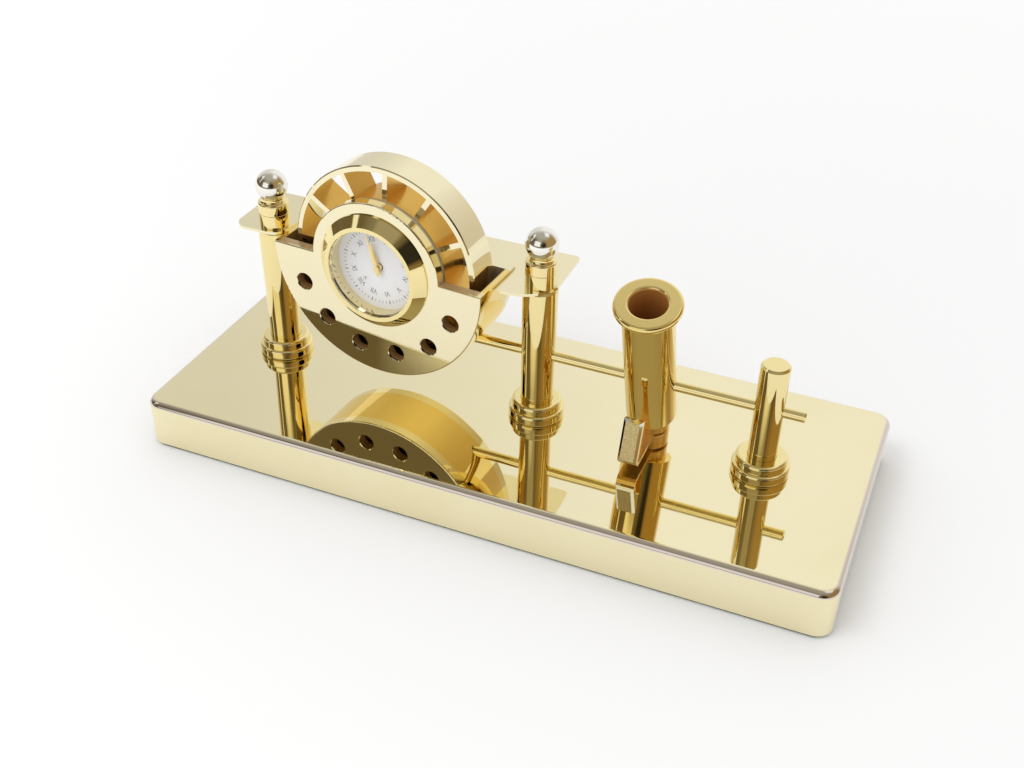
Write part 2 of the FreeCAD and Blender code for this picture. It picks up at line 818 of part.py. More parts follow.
BLADE_COUNT = 12
BLADE_ROOT = "sqrt(hub_radius * hub_radius - blade_thickness * blade_thickness / 4)"
BLADE_END = ("sqrt(%s * %s - blade_thickness * blade_thickness / 4)" % (RIM_BORE, RIM_BORE))
for number in range(BLADE_COUNT):
    blade = new_body("wheel_blade_%02d" % (number + 1), CASING_FRAME)
    section = new_sketch(blade, lift=WHEEL_BACK,
                         turn="-blade_phase - %d" % (360 * number // BLADE_COUNT))
    add_outline(section, [
        ("-blade_thickness / 2", BLADE_ROOT, "-hub_radius"),
        ("blade_thickness / 2", BLADE_ROOT),
        ("blade_thickness / 2", BLADE_END, RIM_BORE),
        ("-blade_thickness / 2", BLADE_END),
    ])
    pad(blade, section, "wheel_width")

# Clock insert: a push-in quartz clock, held in the front plate's bore by a rubber ring

CASE_RADIUS = "(insert_bore / 2 - grip_thickness + edge_round / 2)"
GLASS_RADIUS = "(bezel_top_radius - ring_width)"
CASE_INNER = "(%s - case_wall)" % CASE_RADIUS
bezel = new_body("clock_bezel", CASING_FRAME)
revolve(bezel, [
    (GLASS_RADIUS + " - fit", "-dial_depth"),
    (CASE_INNER, "-dial_depth"),
    (CASE_INNER, "fit"),
    ("bezel_radius", "fit"),
    ("bezel_radius", "bezel_edge"),
    ("bezel_top_radius", "bezel_height"),
    (GLASS_RADIUS + " + glass_ledge / 2", "bezel_height"),
    (GLASS_RADIUS + " + glass_ledge / 2", "glass_seat"),
    (GLASS_RADIUS + " - fit", "glass_seat"),
])
glass = new_body("clock_glass", CASING_FRAME)
GLASS_EDGE = "(%s + glass_ledge / 2 - fit)" % GLASS_RADIUS
DOME_RADIUS = "((%s * %s + glass_dome * glass_dome) / 2 / glass_dome)" % (GLASS_EDGE, GLASS_EDGE)
revolve(glass, [
    ("0", "glass_seat"),
    (GLASS_EDGE, "glass_seat"),
    (GLASS_EDGE, "glass_seat + glass_edge", DOME_RADIUS),
    ("0", "glass_seat + glass_edge + glass_dome"),
])
case = new_body("clock_case", CASING_FRAME)
GROOVE_RADIUS = "(insert_bore / 2 - grip_thickness)"
revolve(case, [
    (CASE_INNER, "-case_depth"),
    (CASE_RADIUS, "-case_depth"),
    (CASE_RADIUS, "-grip_depth - grip_width"),
    (GROOVE_RADIUS, "-grip_depth - grip_width"),
    (GROOVE_RADIUS, "-grip_depth"),
    (CASE_RADIUS, "-grip_depth"),
    (CASE_RADIUS, "0"),
    (CASE_INNER, "0"),
])
grip = new_body("clock_grip_ring", CASING_FRAME)
revolve(grip, [
    (GROOVE_RADIUS, "-grip_depth - grip_width"),
    ("insert_bore / 2 - fit", "-grip_depth - grip_width"),
    ("insert_bore / 2 - fit", "-grip_depth"),
    (GROOVE_RADIUS, "-grip_depth"),
])
fillet(grip, "grip_thickness / 3", one_of(
    is_ring("insert_bore / 2 - fit", "-grip_depth"),
    is_ring("insert_bore / 2 - fit", "-grip_depth - grip_width")))
dial = new_body("clock_dial", CASING_FRAME)
DIAL_BACK = "(-dial_depth - dial_thickness)"
revolve(dial, [
    ("hour_hub_radius + fit * 4", DIAL_BACK),
    (CASE_INNER + " - fit", DIAL_BACK),
    (CASE_INNER + " - fit", "-dial_depth"),
    ("hour_hub_radius + fit * 4", "-dial_depth"),
])

HOUR_LEVEL = "(-dial_depth + hand_spacing)"
MINUTE_LEVEL = "(-dial_depth + hand_spacing * 2 + hand_thickness)"


def hand(label, level, length, width, hub_radius, hub_bottom, bore):
    """A leaf-shaped clock hand on its hub, at twelve on a dial that is turned in its casing."""
    body = new_body(label, CASING_FRAME)
    leaf = new_sketch(body, lift=level, turn="insert_turn")
    add_outline(leaf, [
        ("-%s * 0.3" % width, "-hand_tail"),
        ("%s * 0.3" % width, "-hand_tail"),
        ("%s / 2" % width, "%s * 0.35" % length),
        ("%s * 0.1" % width, length),
        ("-%s * 0.1" % width, length),
        ("-%s / 2" % width, "%s * 0.35" % length),
    ])
    pad(body, leaf, "hand_thickness")
    boss = new_sketch(body, lift=hub_bottom)
    add_circle(boss, hub_radius)
    pad(body, boss, "%s + hand_thickness - %s" % (level, hub_bottom))
    if bore:
        hole = new_sketch(body, lift=hub_bottom)
        add_circle(hole, bore)
        pocket(body, hole, "%s + hand_thickness - %s" % (level, hub_bottom), reverse=True)
    return body


ARBOR = "(minute_hub_radius - hour_hub_radius / 4)"
hand("clock_hour_hand", HOUR_LEVEL, "hour_hand_length", "hour_hand_width",
     "hour_hub_radius", "(-dial_depth - dial_thickness)", ARBOR + " + fit")
minute = hand("clock_minute_hand", MINUTE_LEVEL, "minute_hand_length",
              "minute_hand_width", "minute_hub_radius", MINUTE_LEVEL, None)
arbor = new_sketch(minute, lift="(-dial_depth - dial_thickness - movement_thickness / 2)")
add_circle(arbor, ARBOR)
pad(minute, arbor, "%s + dial_depth + dial_thickness + movement_thickness / 2" % MINUTE_LEVEL)

MOVEMENT_BACK = "(%s - movement_thickness)" % DIAL_BACK
movement = new_body("clock_movement", CASING_FRAME)
block = new_sketch(movement, lift=MOVEMENT_BACK)
add_circle(block, "movement_radius")
pad(movement, block, "movement_thickness")
well = new_sketch(movement, lift=DIAL_BACK)
add_circle(well, "%s + fit * 2" % ARBOR)
pocket(movement, well, "movement_thickness / 2 + fit * 4")
stem_well = new_sketch(movement, lift=MOVEMENT_BACK)
add_circle(stem_well, "knob_stem_radius + fit", ("knob_offset", "0"))
pocket(movement, stem_well, "movement_thickness / 3", reverse=True)

battery = new_body("clock_battery", CASING_FRAME)
cell = new_sketch(battery, lift="%s - battery_thickness" % MOVEMENT_BACK)
add_circle(cell, "battery_radius", ("-battery_offset", "0"))
pad(battery, cell, "battery_thickness")
fillet(battery, "edge_round", lambda edge: is_round(edge) and abs(
    edge.Curve.Center.z - size("%s - battery_thickness" % MOVEMENT_BACK)) < 1e-4)

back_cover = new_body("clock_back_cover", CASING_FRAME)
lid = new_sketch(back_cover, lift="-case_depth")
add_circle(lid, CASE_INNER + " - fit")
pad(back_cover, lid, "cover_thickness")
stem_hole = new_sketch(back_cover, lift="-case_depth")
add_circle(stem_hole, "knob_stem_radius + fit * 2", ("knob_offset", "0"))
pocket(back_cover, stem_hole, "cover_thickness", reverse=True)
spacer_ring = new_sketch(back_cover, lift="-case_depth + cover_thickness")
add_circle(spacer_ring, CASE_INNER + " - fit")
add_circle(spacer_ring, CASE_INNER + " - case_wall")
pad(back_cover, spacer_ring, "case_depth - cover_thickness + %s" % MOVEMENT_BACK)

knob = new_body("clock_setting_knob", CASING_FRAME)
KNOB_TOP = "(-case_depth - knob_gap)"
grip_disc = new_sketch(knob, lift="%s - knob_height" % KNOB_TOP)
add_circle(grip_disc, "knob_radius", ("knob_offset", "0"))
pad(knob, grip_disc, "knob_height")
chamfer(knob, "edge_round", lambda edge: is_round(edge) and abs(
    edge.Curve.Center.z - size("%s - knob_height" % KNOB_TOP)) < 1e-4)
stem = new_sketch(knob, lift=KNOB_TOP)
add_circle(stem, "knob_stem_radius", ("knob_offset", "0"))
pad(knob, stem, "%s + movement_thickness / 3 - fit * 2 - %s" % (MOVEMENT_BACK, KNOB_TOP))

# Rod, from inside the casing's wall through the posts and the pen tube

rod = new_body("rod", "placement(vector(0; post_line; rod_height); rotation(0; 0; 0))")
rod_section = new_sketch(rod, "YZ_Plane", lift=ROD_LEFT)
add_circle(rod_section, "rod_diameter / 2")
pad(rod, rod_section, RIGHT_POST + " + rod_overhang - " + ROD_LEFT)
chamfer(rod, "rod_chamfer", is_round)

# Pen tube: a leaning tube with a flanged mouth and a blind bore, on a short neck

tube = new_body("pen_tube", TUBE_FRAME, is_node=False)
revolve(tube, [
    ("0", "-tube_below"),
    ("tube_diameter / 2", "-tube_below"),
    ("tube_diameter / 2", "tube_above - flange_thickness"),
    ("flange_diameter / 2", "tube_above - flange_thickness"),
    ("flange_diameter / 2", "tube_above"),
    ("tube_bore / 2", "tube_above"),
    ("tube_bore / 2", "tube_above - tube_bore_depth"),
    ("0", "tube_above - tube_bore_depth"),
])
fillet(tube, "flange_round", one_of(
    is_ring("flange_diameter / 2", "tube_above"),
    is_ring("flange_diameter / 2", "tube_above - flange_thickness")))
fillet(tube, "tube_mouth", is_ring("tube_bore / 2", "tube_above"))
cross = new_sketch(tube, "YZ_Plane")
add_circle(cross, "rod_diameter / 2 + fit")
pocket(tube, cross, "tube_diameter * 2", midplane=True)
NECK_Y = "(post_line + tube_below * sin(tube_lean))"
NECK_TOP = "(rod_height - tube_below * cos(tube_lean))"
SCREW_TOP = "(base_height + screw_reach)"
tube_drill = drill("tube_drill", TAPPED, "%s + 1 - base_height" % SCREW_TOP,
                   standing_at(TUBE_X, "base_height", NECK_Y))
boolean("Cut", "pen_tube", tube, tube_drill)

washer = new_body("pen_washer", standing_at(TUBE_X, "base_height", NECK_Y))
revolve(washer, [
    (SCREW_HOLE, "0"),
    ("pen_neck_diameter / 2", "0"),
    ("pen_neck_diameter / 2", "pen_washer_height"),
    (SCREW_HOLE, "pen_washer_height"),
])
fillet(washer, "edge_round", is_ring("pen_neck_diameter / 2", "pen_washer_height"))

STRIP_BOTTOM = "(base_height + pen_washer_height)"
STRIP_TOP = "(%s + strip_thickness)" % STRIP_BOTTOM
neck = new_body("pen_neck", standing_at(TUBE_X, STRIP_TOP, NECK_Y), is_node=False)
revolve(neck, [
    (SCREW_HOLE, "0"),
    ("pen_neck_diameter / 2", "0"),
    ("pen_neck_diameter / 2", "tube_diameter"),
    (SCREW_HOLE, "tube_diameter"),
])
above_neck = drill("above_neck", "tube_diameter * 2", "tube_above",
                   TUBE_FRAME + " * placement(vector(0; 0; -tube_below); rotation(0; 0; 0))")
boolean("Cut", "pen_neck", neck, above_neck)

# Bent strip: an arm clamped under the neck, with an upturned leaf and a bevelled pad on it

strip = new_body("hook_strip", "placement(vector(%s; 0; %s); rotation(0; 0; 0))"
                 % (TUBE_X, STRIP_BOTTOM))
side = new_sketch(strip, "YZ_Plane")
LEAF_Y = "(strip_front + strip_leaf * sin(strip_lean))"
LEAF_Z = "(strip_leaf * cos(strip_lean))"
add_outline(side, [
    ("%s + pen_neck_diameter / 2" % NECK_Y, "0"),
    ("%s + pen_neck_diameter / 2" % NECK_Y, "strip_thickness"),
    ("strip_front + strip_thickness * (1 + sin(strip_lean)) / cos(strip_lean)",
     "strip_thickness"),
    ("%s + strip_thickness * cos(strip_lean)" % LEAF_Y,
     "%s - strip_thickness * sin(strip_lean)" % LEAF_Z),
    (LEAF_Y, LEAF_Z),
    ("strip_front", "0"),
])
pad(strip, side, "strip_width", midplane=True)


def is_across(edge):
    """A test for straight edges along the body's X."""
    box = edge.BoundBox
    return box.XLength > 1 and box.YLength < 1e-4 and box.ZLength < 1e-4


fillet(strip, "strip_bend + strip_thickness", lambda edge: is_across(edge) and abs(
    edge.BoundBox.YMin - size("strip_front")) < 1e-3 and abs(edge.BoundBox.ZMin) < 1e-3)
fillet(strip, "strip_bend", lambda edge: is_across(edge) and abs(
    edge.BoundBox.YMin - size("strip_front + strip_thickness * (1 + sin(strip_lean))"
                              " / cos(strip_lean)")) < 1e-3)
strip_hole = new_sketch(strip)
add_circle(strip_hole, SCREW_HOLE, ("0", NECK_Y))
pocket(strip, strip_hole, "strip_thickness", reverse=True)

leaf_pad = new_body(
    "hook_pad",
    "placement(vector(%s; %s; %s + %s); rotation(0; 0; -strip_lean))"
    % (TUBE_X, LEAF_Y, STRIP_BOTTOM, LEAF_Z))
face = new_sketch(leaf_pad, "XZ_Plane")
add_outline(face, [
    ("-strip_width / 2", "-pad_length"),
    ("strip_width / 2", "-pad_length"),
    ("strip_width / 2", "0"),
    ("-strip_width / 2", "0"),
])
pad(leaf_pad, face, "pad_thickness")
chamfer(leaf_pad, "pad_chamfer", lambda edge: abs(
    edge.BoundBox.YMax - (-size("pad_thickness"))) < 1e-4 and edge.BoundBox.YLength < 1e-4)

# Checks and export

doc.recompute()
for item in doc.Objects:
    if "Invalid" in item.State or "Error" in item.State:
        raise RuntimeError("failed: " + item.Label + " " + str(item.State))
for node in NODES:
    shape = node.Shape
    if shape.isNull() or not shape.isValid() or not shape.Solids:
        raise RuntimeError("no valid solid: " + node.Label)
    shape.exportStep(os.path.join("parts", node.Label + ".step"))
print("nodes:", len(NODES))
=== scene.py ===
import math

import bpy
from mathutils import Matrix, Vector


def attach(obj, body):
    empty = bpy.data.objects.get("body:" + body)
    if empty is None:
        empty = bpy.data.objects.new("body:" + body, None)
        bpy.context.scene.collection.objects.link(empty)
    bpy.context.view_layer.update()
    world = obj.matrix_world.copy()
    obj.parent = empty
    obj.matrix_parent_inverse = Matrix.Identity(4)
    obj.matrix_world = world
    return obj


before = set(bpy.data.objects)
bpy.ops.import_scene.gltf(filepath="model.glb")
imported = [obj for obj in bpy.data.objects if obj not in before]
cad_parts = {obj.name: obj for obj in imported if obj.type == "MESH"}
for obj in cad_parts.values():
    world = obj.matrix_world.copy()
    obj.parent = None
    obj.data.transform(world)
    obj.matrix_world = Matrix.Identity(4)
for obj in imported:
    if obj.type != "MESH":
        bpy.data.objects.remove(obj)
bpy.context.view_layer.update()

# Camera: the place and lens that line the base's corners and the posts up with the picture

SENSOR_WIDTH = 36.0
LENS = 44.78
EYE_DISTANCE = 0.402
EYE_TURN = math.radians(21.99)
EYE_TILT = math.radians(34.96)
EYE_ROLL = math.radians(1.25)
LOOK_AT = Vector((-0.0142, 0.0298, 0.0))
NEAREST_SEEN = 0.01


def stand_camera():
    """Stand the camera where the picture was taken from."""
    lens_data = bpy.data.cameras.new("studio_camera")
    lens_data.sensor_width = SENSOR_WIDTH
    lens_data.lens = LENS
    lens_data.clip_start = NEAREST_SEEN
    camera = bpy.data.objects.new("studio_camera", lens_data)
    bpy.context.scene.collection.objects.link(camera)
    bpy.context.scene.camera = camera
    ahead = Vector((-math.sin(EYE_TURN) * math.cos(EYE_TILT),
                    math.cos(EYE_TURN) * math.cos(EYE_TILT),
                    -math.sin(EYE_TILT)))
    level = Vector((math.cos(EYE_TURN), math.sin(EYE_TURN), 0.0))
    rise = level.cross(ahead)
    across = level * math.cos(EYE_ROLL) + rise * math.sin(EYE_ROLL)
    upward = rise * math.cos(EYE_ROLL) - level * math.sin(EYE_ROLL)
    eye = LOOK_AT - ahead * EYE_DISTANCE
    camera.matrix_world = Matrix((
        (across.x, upward.x, -ahead.x, eye.x),
        (across.y, upward.y, -ahead.y, eye.y),
        (across.z, upward.z, -ahead.z, eye.z),
        (0.0, 0.0, 0.0, 1.0),
    ))


stand_camera()
bpy.context.scene.view_settings.view_transform = "Standard"

# Places on the object that its finishes and the dial's print need, in metres and radians

UP = (0.0, 0.0, 1.0)
TUBE_PLACE = (0.038, 0.0, 0.0354)
TUBE_LEAN = math.radians(18.0)
BORE_RADIUS = 0.005
NECK_TOP = 0.0665
CLOCK_PLACE = Vector((-0.0379, -0.0128, 0.0576))
CASING_TURN = math.radians(-4.5)
CASING_FRONT = (math.sin(CASING_TURN), -math.cos(CASING_TURN), 0.0)
CASING_INNER_RADIUS = 0.0312
PAD_LEAN = math.radians(18.6)
INSERT_TURN = math.radians(16.5)
DIAL_DEPTH = 0.0030
NUMERAL_RADIUS = 0.0077
NUMERAL_HEIGHT = 0.0022
NUMERAL_NARROWING = 0.8
TRACK_RADIUS = 0.0103
PRINT_LIFT = 0.00002
PRINT_THICKNESS = 0.00002

# Small steps that the finishes are put together from


def new_finish(name):
    """A material with its nodes, its links and its shader."""
    finish = bpy.data.materials.new(name)
    finish.use_nodes = True
    tree = finish.node_tree
    return finish, tree.nodes, tree.links, tree.nodes["Principled BSDF"]


def object_noise(nodes, links, scale, detail=2.0, roughness=0.5, stretch=None):
    """Noise laid on the piece's own coordinates, in metres."""
    place = nodes.new("ShaderNodeTexCoord")
    noise = nodes.new("ShaderNodeTexNoise")
    noise.inputs["Scale"].default_value = scale
    noise.inputs["Detail"].default_value = detail
    noise.inputs["Roughness"].default_value = roughness
    if stretch:
        mapping = nodes.new("ShaderNodeMapping")
        mapping.inputs["Scale"].default_value = stretch
        links.new(place.outputs["Object"], mapping.inputs["Vector"])
        links.new(mapping.outputs["Vector"], noise.inputs["Vector"])
    else:
        links.new(place.outputs["Object"], noise.inputs["Vector"])
    return noise.outputs["Fac"]


def blended(nodes, links, factor, low, high, start=0.35, end=0.65):
    """A colour ramp between two colours."""
    ramp = nodes.new("ShaderNodeValToRGB")
    first, last = ramp.color_ramp.elements
    first.position = start
    first.color = (*low, 1.0)
    last.position = end
    last.color = (*high, 1.0)
    links.new(factor, ramp.inputs["Fac"])
    return ramp.outputs["Color"]


def ranged(nodes, links, value, low, high, start=0.0, end=1.0):
    """A number moved from the range start to end into the range low to high."""
    span = nodes.new("ShaderNodeMapRange")
    span.inputs["From Min"].default_value = start
    span.inputs["From Max"].default_value = end
    span.inputs["To Min"].default_value = low
    span.inputs["To Max"].default_value = high
    links.new(value, span.inputs["Value"])
    return span.outputs["Result"]


def mixed(nodes, links, factor, first, second):
    """Two colours mixed by a factor."""
    mix = nodes.new("ShaderNodeMix")
    mix.data_type = "RGBA"
    links.new(factor, mix.inputs["Factor"])
    for socket, colour in ((mix.inputs["A"], first), (mix.inputs["B"], second)):
        if isinstance(colour, tuple):
            socket.default_value = (*colour, 1.0)
        else:
            links.new(colour, socket)
    return mix.outputs["Result"]


def between(nodes, links, factor, first, second):
    """Two numbers mixed by a factor."""
    mix = nodes.new("ShaderNodeMix")
    links.new(factor, mix.inputs["Factor"])
    for socket, value in ((mix.inputs["A"], first), (mix.inputs["B"], second)):
        if isinstance(value, (int, float)):
            socket.default_value = value
        else:
            links.new(value, socket)
    return mix.outputs["Result"]


def figured(nodes, links, kind, first, second=None):
    """One step of arithmetic on numbers."""
    step = nodes.new("ShaderNodeMath")
    step.operation = kind
    for socket, value in zip(step.inputs, (first, second)):
        if isinstance(value, (int, float)):
            socket.default_value = value
        elif value is not None:
            links.new(value, socket)
    return step.outputs["Value"]


def along(nodes, links, vector, direction):
    """How far a vector goes in a direction."""
    dot = nodes.new("ShaderNodeVectorMath")
    dot.operation = "DOT_PRODUCT"
    dot.inputs[1].default_value = direction
    links.new(vector, dot.inputs[0])
    return dot.outputs["Value"]


def length_of(nodes, links, vector):
    """How long a vector is."""
    length = nodes.new("ShaderNodeVectorMath")
    length.operation = "LENGTH"
    links.new(vector, length.inputs[0])
    return length.outputs["Value"]


def from_axis(nodes, links, vector, across):
    """How far a point lies from an axis, where across is 0 along the axis and 1 beside it."""
    flat = nodes.new("ShaderNodeVectorMath")
    flat.operation = "MULTIPLY"
    flat.inputs[1].default_value = across
    links.new(vector, flat.inputs[0])
    return length_of(nodes, links, flat.outputs["Vector"])


def measured_from(nodes, links, place, turn):
    """The piece's own coordinates, measured from a place and turned with it."""
    spot = nodes.new("ShaderNodeTexCoord")
    mapping = nodes.new("ShaderNodeMapping")
    mapping.vector_type = "TEXTURE"
    mapping.inputs["Location"].default_value = place
    mapping.inputs["Rotation"].default_value = turn
    links.new(spot.outputs["Object"], mapping.inputs["Vector"])
    return mapping.outputs["Vector"]


def bumped(nodes, links, shader, height, strength, distance):
    """A small relief on a finish."""
    bump = nodes.new("ShaderNodeBump")
    bump.inputs["Strength"].default_value = strength
    bump.inputs["Distance"].default_value = distance
    links.new(height, bump.inputs["Height"])
    links.new(bump.outputs["Normal"], shader.inputs["Normal"])


# Special places on the plated pieces: each step changes the colour and the haze there

SILVERY = (0.88, 0.86, 0.80)
BALL_HAZE = 0.09
LACQUER_METAL = 0.7
# painted shade: the dark brown inside the pen tube's bore
BORE_SHADE_BROWN = (0.52, 0.22, 0.05)
BORE_METAL = 0.25
# painted shade: the dark brown inside the casing below its middle
CASING_SHADE_BROWN = (0.36, 0.19, 0.06)
CASING_METAL = 0.3
RAW_HAZE = 0.4
# painted highlight: the pale gold on the faces of the blades and hub that point forward or back
FORWARD_FACE_HIGHLIGHT = (0.90, 0.82, 0.58)
EDGE_HAZE = 0.05
WORN_NICKEL = (0.70, 0.63, 0.58)


def lacquered(nodes, links, shader, colour, dullness):
    """The little fittings at the tube's foot have a lacquered, less mirror-like gold."""
    shader.inputs["Metallic"].default_value = LACQUER_METAL
    return colour, dullness


def silvery_ball(nodes, links, shader, colour, dullness):
    """The ball of a finial is plated whiter than its collar and neck."""
    place = nodes.new("ShaderNodeTexCoord")
    height = along(nodes, links, place.outputs["Object"], UP)
    is_ball = ranged(nodes, links, height, 0.0, 1.0, start=NECK_TOP - 0.0002, end=NECK_TOP + 0.0003)
    return (mixed(nodes, links, is_ball, colour, SILVERY),
            between(nodes, links, is_ball, dullness, BALL_HAZE))


def bore_painted_shade(nodes, links, shader, colour, dullness):
    """Inside the pen tube's bore the colour is a painted shade of dark brown, and the finish is rougher
    and less metallic.
    """
    spot = measured_from(nodes, links, TUBE_PLACE, (TUBE_LEAN, 0.0, 0.0))
    radius = from_axis(nodes, links, spot, (1.0, 1.0, 0.0))
    outside = ranged(nodes, links, radius, 0.0, 1.0, start=BORE_RADIUS + 0.00002, end=BORE_RADIUS + 0.0003)
    links.new(ranged(nodes, links, outside, BORE_METAL, 1.0), shader.inputs["Metallic"])
    # Painted shade: the bore's wall gets a dark brown in place of the gold.
    return (mixed(nodes, links, outside, BORE_SHADE_BROWN, colour),
            between(nodes, links, outside, RAW_HAZE, dullness))


def casing_inside_painted_shade(nodes, links, shader, colour, dullness):
    """Behind its front face, in its vents and inside its wall below the middle, the casing's colour is a
    painted shade of dark brown, and the finish is rougher and less metallic.
    """
    spot = measured_from(nodes, links, CLOCK_PLACE, (0.0, 0.0, CASING_TURN))
    depth = along(nodes, links, spot, (0.0, 1.0, 0.0))
    behind_front = ranged(nodes, links, depth, 0.0, 1.0, start=0.0005, end=0.0008)
    before_back = ranged(nodes, links, depth, 1.0, 0.0, start=0.0168, end=0.0172)
    radius = from_axis(nodes, links, spot, (1.0, 0.0, 1.0))
    within_wall = ranged(nodes, links, radius, 1.0, 0.0,
                         start=CASING_INNER_RADIUS - 0.0001, end=CASING_INNER_RADIUS + 0.0002)
    below_middle = ranged(nodes, links, along(nodes, links, spot, UP), 1.0, 0.0, start=0.0, end=0.003)
    inside = figured(nodes, links, "MULTIPLY",
                     figured(nodes, links, "MULTIPLY", behind_front, before_back),
                     figured(nodes, links, "MULTIPLY", within_wall, below_middle))
    links.new(ranged(nodes, links, inside, 1.0, CASING_METAL), shader.inputs["Metallic"])
    # Painted shade: the inside of the casing below the middle gets a dark brown in place of the gold.
    return (mixed(nodes, links, inside, colour, CASING_SHADE_BROWN),
            between(nodes, links, inside, dullness, RAW_HAZE))


def forward_face_highlight(nodes, links, shader, colour, dullness):
    """The faces of the blades and hub that point along the casing's front, either way, get a painted
    highlight of pale gold and less haze.
    """
    face = nodes.new("ShaderNodeNewGeometry")
    forward = along(nodes, links, face.outputs["Normal"], CASING_FRONT)
    either_way = figured(nodes, links, "ABSOLUTE", forward)
    on_edge = ranged(nodes, links, either_way, 0.0, 1.0, start=0.90, end=0.97)
    # Painted highlight: these faces get a pale gold in place of the deep amber.
    return (mixed(nodes, links, on_edge, colour, FORWARD_FACE_HIGHLIGHT),
            between(nodes, links, on_edge, dullness, EDGE_HAZE))


def worn_rim(nodes, links, shader, colour, dullness):
    """On the rounded rim of the base the gold is worn down to the nickel."""
    face = nodes.new("ShaderNodeNewGeometry")
    upright = along(nodes, links, face.outputs["Normal"], UP)
    on_rim = figured(nodes, links, "MULTIPLY",
                     ranged(nodes, links, upright, 0.0, 1.0, start=0.10, end=0.35),
                     ranged(nodes, links, upright, 1.0, 0.0, start=0.90, end=0.985))
    return mixed(nodes, links, on_rim, colour, WORN_NICKEL), dullness


# Whole finishes

PAD_FRAME = (0.84, 0.82, 0.76)
PAD_HOLLOWS = (0.54, 0.42, 0.18)
PAD_HEIGHTS = (0.72, 0.59, 0.30)


def polished_plate(name, light, deep, haze_low, haze_high, wave, special=None):
    """Polished plating: clouds of tone, faint haze with buffing lines, and a slight waviness."""
    finish, nodes, links, shader = new_finish(name)
    shader.inputs["Metallic"].default_value = 1.0
    clouds = object_noise(nodes, links, scale=38.0, detail=3.0, roughness=0.6)
    colour = blended(nodes, links, clouds, deep, light)
    haze = object_noise(nodes, links, scale=420.0, detail=4.0, roughness=0.7)
    lines = object_noise(nodes, links, scale=300.0, detail=3.0, roughness=0.6, stretch=(0.06, 1.0, 1.0))
    both = figured(nodes, links, "MULTIPLY", haze, lines)
    dullness = ranged(nodes, links, both, haze_low, haze_high, start=0.12, end=0.42)
    if special:
        colour, dullness = special(nodes, links, shader, colour, dullness)
    links.new(colour, shader.inputs["Base Color"])
    links.new(dullness, shader.inputs["Roughness"])
    waviness = object_noise(nodes, links, scale=95.0, detail=2.0, roughness=0.4)
    bumped(nodes, links, shader, waviness, strength=wave, distance=0.0004)
    return finish


def plain_finish(name, low, high, roughness_low, roughness_high, grain, relief):
    """A moulded, printed, woven or sawn finish with a fine grain."""
    finish, nodes, links, shader = new_finish(name)
    grains = object_noise(nodes, links, scale=grain, detail=5.0, roughness=0.65)
    links.new(blended(nodes, links, grains, low, high), shader.inputs["Base Color"])
    links.new(ranged(nodes, links, grains, roughness_low, roughness_high), shader.inputs["Roughness"])
    bumped(nodes, links, shader, grains, strength=relief, distance=0.0001)
    return finish


def crystal_glass():
    """Clear glass that lets the light through to the dial."""
    finish, nodes, links, shader = new_finish("clock_crystal")
    shader.inputs["Base Color"].default_value = (1.0, 1.0, 1.0, 1.0)
    shader.inputs["Transmission Weight"].default_value = 1.0
    shader.inputs["IOR"].default_value = 1.45
    smears = object_noise(nodes, links, scale=160.0, detail=3.0, roughness=0.6)
    links.new(ranged(nodes, links, smears, 0.0, 0.02), shader.inputs["Roughness"])
    rays = nodes.new("ShaderNodeLightPath")
    clear = nodes.new("ShaderNodeBsdfTransparent")
    lighting = figured(nodes, links, "MAXIMUM",
                       rays.outputs["Is Shadow Ray"], rays.outputs["Is Diffuse Ray"])
    pane = nodes.new("ShaderNodeMixShader")
    links.new(lighting, pane.inputs["Fac"])
    links.new(shader.outputs["BSDF"], pane.inputs[1])
    links.new(clear.outputs["BSDF"], pane.inputs[2])
    links.new(pane.outputs["Shader"], nodes["Material Output"].inputs["Surface"])
    return finish


def stippled_pad():
    """A bright bevelled frame round a duller stippled middle."""
    finish, nodes, links, shader = new_finish("stippled_pad")
    shader.inputs["Metallic"].default_value = 1.0
    stipple = object_noise(nodes, links, scale=2600.0, detail=3.0, roughness=0.6)
    face = nodes.new("ShaderNodeNewGeometry")
    straight = along(nodes, links, face.outputs["Normal"], (0.0, -math.cos(PAD_LEAN), math.sin(PAD_LEAN)))
    middle = ranged(nodes, links, straight, 0.0, 1.0, start=0.93, end=0.97)
    dull = blended(nodes, links, stipple, PAD_HOLLOWS, PAD_HEIGHTS, start=0.4, end=0.6)
    links.new(mixed(nodes, links, middle, PAD_FRAME, dull), shader.inputs["Base Color"])
    links.new(ranged(nodes, links, middle, low=0.06, high=0.30), shader.inputs["Roughness"])
    relief = figured(nodes, links, "MULTIPLY", stipple, middle)
    bumped(nodes, links, shader, relief, strength=0.5, distance=0.0001)
    return finish


CHAMPAGNE_TONES = dict(light=(0.90, 0.82, 0.565), deep=(0.885, 0.80, 0.53),
                       haze_low=0.012, haze_high=0.05, wave=0.02)

champagne = polished_plate("champagne_gold", **CHAMPAGNE_TONES)
casing_gold = polished_plate("casing_gold", **CHAMPAGNE_TONES, special=casing_inside_painted_shade)
base_gold = polished_plate("base_gold", light=(0.90, 0.82, 0.555), deep=(0.885, 0.80, 0.52),
                           haze_low=0.012, haze_high=0.05, wave=0.02, special=worn_rim)
gold = polished_plate("polished_gold", light=(0.90, 0.765, 0.39), deep=(0.88, 0.74, 0.36),
                      haze_low=0.015, haze_high=0.06, wave=0.03)
wall_gold = polished_plate("wall_gold", light=(0.90, 0.70, 0.28), deep=(0.88, 0.67, 0.25),
                           haze_low=0.02, haze_high=0.06, wave=0.03, special=casing_inside_painted_shade)
